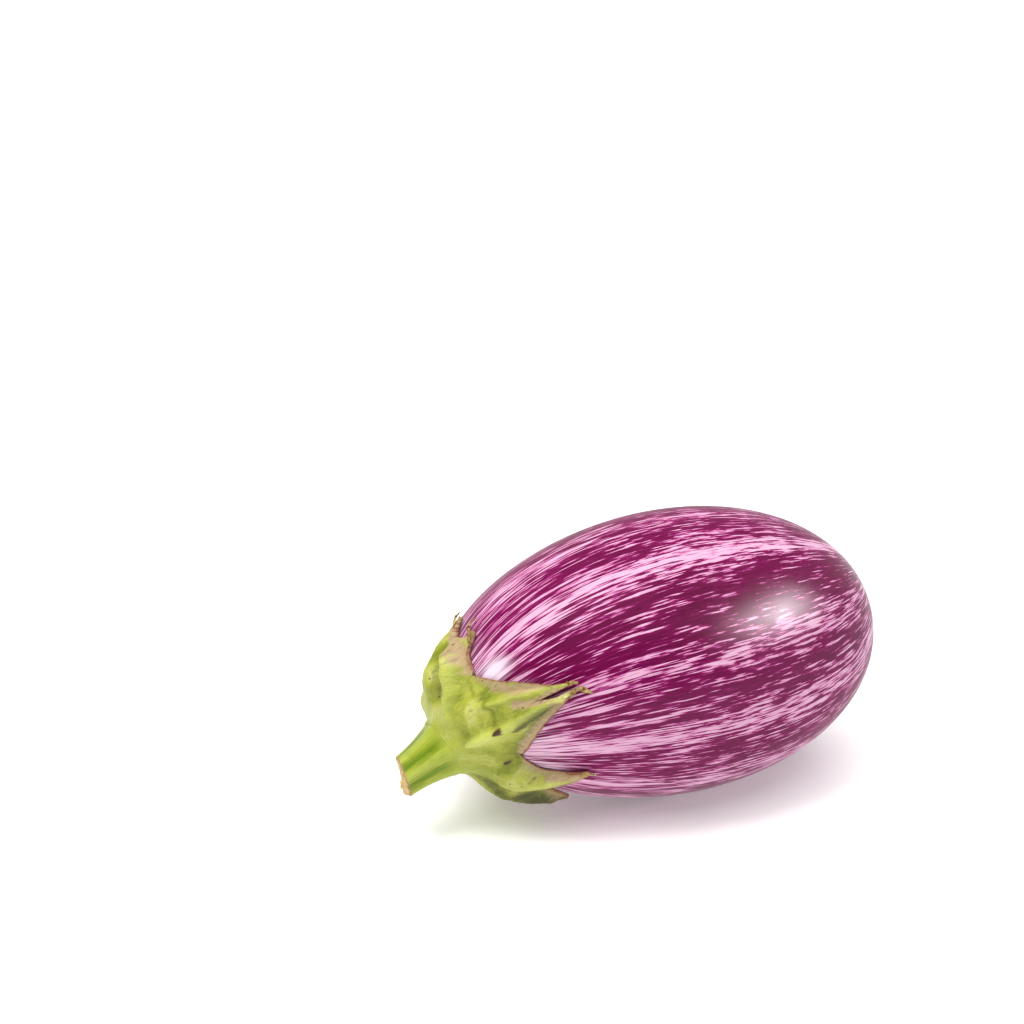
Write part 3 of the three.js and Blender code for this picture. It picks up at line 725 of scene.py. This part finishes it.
flesh = blend(tree, calc(tree, "MULTIPLY", speck, rare), flesh, SPECK_BROWN)
tree.links.new(flesh, shader.inputs["Base Color"])
tree.links.new(calc(tree, "MULTIPLY_ADD", veins, 0.3, 0.32), shader.inputs["Roughness"])
rough = calc(tree, "MULTIPLY_ADD", fibres, 0.7, calc(tree, "MULTIPLY", crumbs, 0.5))
rough = calc(tree, "ADD", veins, rough)
bump = add(tree, "Bump", inputs={"Strength": 0.75, "Distance": 0.0008, "Height": rough})
tree.links.new(bump, shader.inputs["Normal"])

calyx = mesh_piece("calyx_cap", calyx_grids, calyx_marks, green)
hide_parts("calyx")
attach(calyx, "root")

# The stem is the flower stalk, thickened and woody inside, with a ridge down from each sepal.
# It was cut off with a knife a finger's width from the calyx, so its end shows a tan ring and the pale pith.
CUT_SLANT, CUT_SKEW, PITH_RADIUS = 10.0, 13.0, 2.2
RING_RISE, PITH_RISE, CORE_RISE, GRAIN_RISE = 0.34, 0.5, 1.0, 0.1
CORE_RIGHT, CORE_UP, CORE_SIZE = -0.38, 0.22, 0.16  # of the chipped core, in shares of the tip's radius
RIND_COLOURS = [(0.40, (0.10, 0.14, 0.004)), (0.5, (0.21, 0.26, 0.008)), (0.62, (0.34, 0.38, 0.035))]
CUT_COLOURS = [
    (0.25, (0.62, 0.47, 0.25)),
    (0.5, (0.50, 0.33, 0.13)),
    (0.75, (0.60, 0.46, 0.24)),
    (0.93, (0.26, 0.14, 0.04)),
]
RIDGE_GREEN, GROOVE_GREEN, OLIVE = (0.374, 0.42, 0.07), (0.085, 0.17, 0.002), (0.158, 0.223, 0.014)
STEM_SIDES, STEM_RINGS, STEM_ROOT, CUT_RINGS = 192, 110, -0.04, 26
FRAY_HEIGHT, FRAY_LENGTH = 0.18, 0.03
stem_turns = np.linspace(0, 2 * np.pi, STEM_SIDES + 1)
stem_turns[-1] = 0
rows = np.linspace(1, STEM_ROOT, STEM_RINGS)[:, None]
turns = stem_turns[None, :] + 0 * rows


def stem_point(share, turn, radius, rise=0.0):
    slant = math.tan(math.radians(CUT_SLANT)) * share * -radius * np.cos(turn)
    slant = slant + math.tan(math.radians(CUT_SKEW)) * share**8 * radius * np.sin(turn)
    return crown_point(turn, radius, STEM_LENGTH * share + slant + rise)


strands = 0.06 * np.cos(23 * turns + 0.5 * np.sin(4 * rows)) + 0.04 * np.cos(41 * turns + 1.3)
uneven = ripple(3.2 * np.cos(turns) + 3.2, 3.2 * np.sin(turns) + rows, seed=21, count=10, low=0.8)
strands = strands + 0.14 * uneven
frayed = FRAY_HEIGHT * np.exp(-((1 - rows) / FRAY_LENGTH))
frayed = frayed * ripple(9 * np.cos(turns), 9 * np.sin(turns), seed=22)
wall_radius = stem_radius(rows, turns) + strands * smooth(rows, -0.05, 0.12) + frayed
wall = stem_point(rows, turns, wall_radius)
rim_radius = wall_radius[0]
cut_shares = np.linspace(0, 1, CUT_RINGS)[:, None]
cut_turns = stem_turns[None, :] + 0 * cut_shares
cut_radius = rim_radius[None, :] * cut_shares
ring = bell(cut_shares - 0.86, 0.09)
pith = np.exp(-((cut_radius / PITH_RADIUS) ** 4))
cut_x, cut_y = cut_radius * np.cos(cut_turns), cut_radius * np.sin(cut_turns)
uneven = ripple(cut_x, cut_y, seed=23, count=8, low=1.0, high=4.0)
cut_rise = RING_RISE * ring + PITH_RISE * pith * (0.6 + 0.4 * uneven)
core_x = cut_x / STEM_TIP_RADIUS - CORE_RIGHT
core_y = cut_y / STEM_TIP_RADIUS - CORE_UP
chipped = np.clip(1 + 0.5 * ripple(8 * core_x, 8 * core_y, seed=25, count=12, low=0.8), 0, 2)
cut_rise = cut_rise + CORE_RISE * chipped * np.exp(-((core_x**2 + core_y**2) / CORE_SIZE) ** 2)
cut_rise = cut_rise + GRAIN_RISE * ripple(2 * cut_x, 2 * cut_y, seed=24, count=10, low=1, high=4)
cut_rise = cut_rise * (1 - smooth(cut_shares, 0.94, 1))
cut = stem_point(np.ones(cut_radius.shape), cut_turns, cut_radius, cut_rise)
base = np.stack([wall[-1], np.broadcast_to(crown_middle - 0.6 * stem_axis, wall[-1].shape)])

wood, tree, shader = new_material("stem_rind", Roughness=0.42, Specular_IOR_Level=0.22)
place = mark_of(tree, "strand_place", "Vector")
strand = noise(tree, add(tree, "VectorMath", place, (1, 1, 0.12), operation="MULTIPLY"), 7.0, 4.0, 0.65)
mottle = noise(tree, place, 1.6, 3.0, 0.6)
strand = calc(tree, "MULTIPLY_ADD", strand, 0.55, 0.225)
rind = ramp(tree, strand, RIND_COLOURS)
ridge_light = calc(tree, "MULTIPLY", mark_of(tree, "on_ridge"), 0.6)
rind = blend(tree, ridge_light, rind, RIDGE_GREEN)
rind = blend(tree, calc(tree, "MULTIPLY", mark_of(tree, "groove"), 0.7), rind, GROOVE_GREEN)
olive_spots = calc(tree, "MULTIPLY_ADD", mottle, 2.0, -1.05, clamp=True)
rind = blend(tree, olive_spots, rind, OLIVE)
foot = calc(tree, "MULTIPLY", mark_of(tree, "by_calyx"), 0.85)
rind = blend(tree, foot, rind, CROWN_GREEN)
outward_share = calc(tree, "MULTIPLY", mark_of(tree, "cut_out"), 0.6)
crumbled = noise(tree, place, 6.0, 4.0, 0.7)
cut_face = ramp(tree, calc(tree, "MULTIPLY_ADD", crumbled, 0.6, outward_share), CUT_COLOURS)
rind = blend(tree, mark_of(tree, "on_cut"), rind, cut_face)
tree.links.new(rind, shader.inputs["Base Color"])
dullness = calc(tree, "MULTIPLY_ADD", mark_of(tree, "on_cut"), 0.4, 0.38)
tree.links.new(dullness, shader.inputs["Roughness"])
bump = add(tree, "Bump", inputs={"Strength": 0.3, "Distance": 0.0005, "Height": strand})
tree.links.new(bump, shader.inputs["Normal"])

on_ridge = smooth(stem_ridge(turns), 0.15, 0.95)
groove = 1 - smooth(stem_ridge(turns), 0.02, 0.4)
by_calyx = 1 - smooth(rows, 0.02, 0.42) + 0 * turns
frill = smooth(rows, 0.975, 1.0) + 0 * turns
wall_place = np.stack([np.cos(turns), np.sin(turns), rows * 2 + 0 * turns], axis=-1)
cut_place = [cut_shares * np.cos(cut_turns), cut_shares * np.sin(cut_turns), 5 + 0 * cut_turns]
cut_place = np.stack(cut_place, axis=-1)
base_zero = np.zeros(base.shape[:2])
stem = mesh_piece(
    "cut_stem",
    [(cut, False), (wall, False), (base, False)],
    {
        "on_ridge": [0 * cut_turns, on_ridge, base_zero],
        "groove": [0 * cut_turns, groove, base_zero],
        "by_calyx": [0 * cut_turns, by_calyx, base_zero + 1],
        "on_cut": [np.ones(cut_turns.shape), frill, base_zero],
        "cut_out": [cut_shares + 0 * cut_turns, 1 + 0 * turns, base_zero],
        "strand_place": [cut_place, wall_place, np.zeros(base.shape)],
    },
    wood,
)
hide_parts("stem")
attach(stem, "root")

# Dried threads and crumbs: what is left of the sepals' torn tips, shrivelled to brown, with one crumb of the
# same stuck to the skin. Each has its thickest radius and a path of (reach, turn, height over the skin).
DRY_BITS = {
    "dry_crumb": (
        0.75, [(38.6, 53, 0.25), (39.6, 53.6, 0.5), (40.4, 55.2, 0.6), (41.3, 56.6, 0.4), (41.9, 57.6, 0.1)]
    ),
    "curl_upper_right": (
        0.55, [(25.5, 357, 1.2), (27, 355.5, 1.9), (28.8, 352.6, 2.5), (30.6, 350, 2.4), (32, 348.8, 1.4)]
    ),
    "curl_upper_left": (0.5, [(27.6, 335, 1.3), (29.4, 332, 2.0), (31.0, 330.6, 2.3), (32.6, 328, 1.5)]),
    "curl_torn_tip": (
        0.6, [(36.6, 48.6, 1.3), (38, 48.8, 1.9), (39.3, 49.2, 2.4), (40, 50, 1.7), (39.6, 50.9, 1.3)]
    ),
    "curl_torn_side": (0.6, [(35.8, 54.6, 1.1), (37.4, 54.2, 1.7), (38.8, 53.2, 1.9), (39.2, 52.2, 1.2)]),
    "curl_low_tip": (0.5, [(31.6, 105, 1.2), (33.4, 103.6, 1.6), (34.6, 105, 1.5), (35.6, 107, 0.7)]),
    "curl_far_low": (0.5, [(35, 218.5, 1.2), (37, 217.6, 1.6), (38.6, 218.6, 1.2)]),
    "curl_far_side": (0.5, [(37, 284, 1.2), (39, 284.6, 1.7), (40.8, 283.4, 1.1)]),
}
BIT_RINGS, BIT_SIDES = 34, 14
BIT_FLATNESS, CRUMB_FLATNESS, BIT_UNEVENNESS = 0.7, 0.45, 0.28
BIT_COLOURS = [(0.34, (0.07, 0.03, 0.008)), (0.5, (0.26, 0.15, 0.045)), (0.66, (0.46, 0.33, 0.13))]

tan, tree, shader = new_material("dried_sepal", Roughness=0.75, Specular_IOR_Level=0.2)
place = add(tree, "TexCoord", out="Object")
crumble = noise(tree, place, 900.0, 3.0, 0.6)
tan_colour = ramp(tree, crumble, BIT_COLOURS)
tree.links.new(tan_colour, shader.inputs["Base Color"])

for number, (name, (thickness, path)) in enumerate(DRY_BITS.items()):
    share = np.linspace(0, 1, BIT_RINGS)
    track = spline(np.array(path, dtype=float), share)
    middle = over_skin(np.radians(track[:, 0]), np.radians(track[:, 1]), track[:, 2])
    heading = np.gradient(middle, axis=0)
    heading /= np.linalg.norm(heading, axis=1)[:, None]
    outward = middle / np.linalg.norm(middle, axis=1)[:, None]
    sideways = np.cross(heading, outward)
    sideways /= np.linalg.norm(sideways, axis=1)[:, None]
    upright = np.cross(sideways, heading)
    around = np.linspace(0, 2 * np.pi, BIT_SIDES + 1)
    around[-1] = 0
    body = thickness * np.sin(np.pi * np.clip(share, 0, 1) ** 0.7) ** 0.6
    uneven = ripple(20 * share[:, None], 1.3 * np.cos(around), 60 + number)
    body = body[:, None] * (1 + BIT_UNEVENNESS * uneven)
    flatness = CRUMB_FLATNESS if name == "dry_crumb" else BIT_FLATNESS
    ring = np.cos(around)[None, :, None] * sideways[:, None]
    ring = ring + flatness * np.sin(around)[None, :, None] * upright[:, None]
    ring = body[..., None] * ring
    bit = mesh_piece(name, [(middle[:, None] + ring, False)], {}, tan)
    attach(bit, "root")

# Prickly hairs: short, stiff and pale, they grow out of the calyx and the stem against whatever would eat
# them. Most have rubbed off, so the rest stand thinly and lean this way and that.
HAIRS_ON_CALYX, HAIRS_ON_STEM = 465, 155
HAIR_LENGTH, HAIR_RADIUS, HAIR_LEAN = 0.85, 0.055, 0.35
HAIR_SHORTEST = 0.4  # a share of the length
HAIR_COLOURS = [(0.35, (0.30, 0.26, 0.10)), (0.6, (0.50, 0.47, 0.24))]
OUTWARD_LEAST = 0.2  # hairs stand where the surface faces outward by more than this share
hair, tree, shader = new_material("stiff_hair", Roughness=0.6, Specular_IOR_Level=0.3)
place = add(tree, "TexCoord", out="Object")
shade = noise(tree, place, 300.0, 1.0, 0.5)
tree.links.new(ramp(tree, shade, HAIR_COLOURS), shader.inputs["Base Color"])
draw = np.random.default_rng(5)
roots, normals = [], []
for source, count in ((calyx, HAIRS_ON_CALYX), (stem, HAIRS_ON_STEM)):
    skin_mesh = source.data
    places = np.empty(len(skin_mesh.vertices) * 3)
    skin_mesh.vertices.foreach_get("co", places)
    facing = np.empty(len(skin_mesh.vertices) * 3)
    skin_mesh.vertices.foreach_get("normal", facing)
    places, facing = places.reshape(-1, 3), facing.reshape(-1, 3)
    away = places * 1000 - FRUIT_MIDDLE
    outside = np.flatnonzero((facing * away).sum(1) > OUTWARD_LEAST * np.linalg.norm(away, axis=1))
    picked = draw.choice(outside, count)
    roots.append(places[picked])
    normals.append(facing[picked])
roots, normals = np.concatenate(roots), np.concatenate(normals)
leaning = normals + draw.normal(0, HAIR_LEAN, normals.shape)
leaning /= np.linalg.norm(leaning, axis=1)[:, None]
flat_way = np.cross(leaning, draw.normal(0, 1, leaning.shape))
flat_way /= np.linalg.norm(flat_way, axis=1)[:, None]
other_way = np.cross(leaning, flat_way)
length = HAIR_LENGTH * draw.uniform(HAIR_SHORTEST, 1, (len(roots), 1)) / 1000
thirds = (0, 2.094, 4.189)  # radians
ways = [math.cos(angle) * flat_way + math.sin(angle) * other_way for angle in thirds]
corners = [roots + HAIR_RADIUS / 1000 * way for way in ways]
tips = roots + leaning * length
spikes = np.stack([*corners, tips], axis=1).reshape(-1, 3)
first = 4 * np.arange(len(roots))[:, None]
sides = np.concatenate([first + np.array([c]) for c in ((0, 1, 3), (1, 2, 3), (2, 0, 3), (2, 1, 0))])
hair_mesh = bpy.data.meshes.new("prickly_hairs")
hair_mesh.from_pydata(spikes.tolist(), [], sides.tolist())
hair_mesh.materials.append(hair)
hairs = bpy.data.objects.new("prickly_hairs", hair_mesh)
bpy.context.scene.collection.objects.link(hairs)
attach(hairs, "root")

# The table is plain, white and matt. It stands under a large soft light from above, and a smaller one at the
# side draws the bright patch on the fruit's shoulder. The camera looks from the photograph's angle.
FLOOR_SIZE, FLOOR_WHITE, FLOOR_GLOW = 2.2, 0.9, 0.2
FLOOR_GLOW_START, FLOOR_GLOW_RISE = 0.6, 1.2  # where the glow grows towards the room's white, and how fast
ROOM_LIGHT, ROOM_LESS_IN_GLOSS, ROOM_MORE_IN_SIGHT = 0.5, -0.45, 0.6
floor_mesh = bpy.data.meshes.new("table_top")
half = FLOOR_SIZE / 2
floor_corners = [(-half, -half, 0), (half, -half, 0), (half, half, 0), (-half, half, 0)]
floor_mesh.from_pydata(floor_corners, [], [(0, 1, 2, 3)])
table = bpy.data.objects.new("table_top", floor_mesh)
bpy.context.scene.collection.objects.link(table)
paint, tree, shader = new_material("white_table", Roughness=0.7, Specular_IOR_Level=0.2)
shader.inputs["Base Color"].default_value = (FLOOR_WHITE, FLOOR_WHITE, FLOOR_WHITE, 1)
shader.inputs["Emission Color"].default_value = (1, 1, 1, 1)
far = add(tree, "VectorMath", add(tree, "TexCoord", out="Object"), operation="LENGTH", out="Value")
far = calc(tree, "MULTIPLY_ADD", far, FLOOR_GLOW_RISE, -FLOOR_GLOW_RISE * FLOOR_GLOW_START, clamp=True)
tree.links.new(calc(tree, "ADD", far, FLOOR_GLOW), shader.inputs["Emission Strength"])
floor_mesh.materials.append(paint)

world = bpy.data.worlds.new("studio")
world.use_nodes = True
world.node_tree.nodes["Background"].inputs[0].default_value = (1, 1, 1, 1)
ray = world.node_tree.nodes.new("ShaderNodeLightPath")
room = calc(world.node_tree, "MULTIPLY_ADD", ray.outputs["Is Glossy Ray"], ROOM_LESS_IN_GLOSS, ROOM_LIGHT)
room = calc(world.node_tree, "MULTIPLY_ADD", ray.outputs["Is Camera Ray"], ROOM_MORE_IN_SIGHT, room)
world.node_tree.links.new(room, world.node_tree.nodes["Background"].inputs[1])
bpy.context.scene.world = world


def soft_light(name, place, aim, size, power):
    lamp = bpy.data.lights.new(name, "AREA")
    lamp.shape, lamp.size, lamp.size_y, lamp.energy = "RECTANGLE", size[0], size[1], power
    item = bpy.data.objects.new(name, lamp)
    bpy.context.scene.collection.objects.link(item)
    item.location = place
    item.rotation_euler = (Vector(aim) - Vector(place)).to_track_quat("-Z", "Y").to_euler()
    return item


# Lamps have a size in metres and a power in watts; the first two also have a place each
TABLE_LAMPS = (
    ("overhead", (-0.05, 0, 1.25), (2.0, 1.7), 25),
    ("key", (-0.38, -0.1, 1.0), (0.45, 0.45), 6),
)
SHEEN_LAMPS = (("window", (0.24, 0.10), 8.5), ("window_glow", (0.62, 0.36), 28.0))
SHEEN_PLACE = (0.66, -0.46, 0.52)
for name, place, size, power in TABLE_LAMPS:
    soft_light(name, place, (0, 0, 0.03), size, power).visible_glossy = False
for name, size, power in SHEEN_LAMPS:
    soft_light(name, SHEEN_PLACE, (0.02, 0, 0.04), size, power).visible_diffuse = False

CAMERA_TURN, CAMERA_RISE, CAMERA_DISTANCE = -20.24, 25.38, 704.0
LENS_LENGTH, SENSOR_WIDTH = 90, 36
FRUIT_RIGHT, FRUIT_DOWN = 43.12, 38.25  # where the fruit's middle lies from the picture's middle
turn, rise = math.radians(CAMERA_TURN), math.radians(CAMERA_RISE)
backward = np.array([math.sin(turn) * math.cos(rise), -math.cos(turn) * math.cos(rise), math.sin(rise)])
rightward = np.array([math.cos(turn), math.sin(turn), 0])
upward = np.cross(backward, rightward)
spot = FRUIT_MIDDLE + CAMERA_DISTANCE * backward - FRUIT_RIGHT * rightward + FRUIT_DOWN * upward
lens = bpy.data.cameras.new("camera")
lens.lens, lens.sensor_width = LENS_LENGTH, SENSOR_WIDTH
camera = bpy.data.objects.new("camera", lens)
bpy.context.scene.collection.objects.link(camera)
facing_axes = Matrix(np.stack([rightward, upward, backward], axis=1).tolist())
camera.matrix_world = Matrix.Translation(spot / 1000) @ facing_axes.to_4x4()
bpy.context.scene.camera = camera
bpy.context.scene.view_settings.view_transform = "Standard"
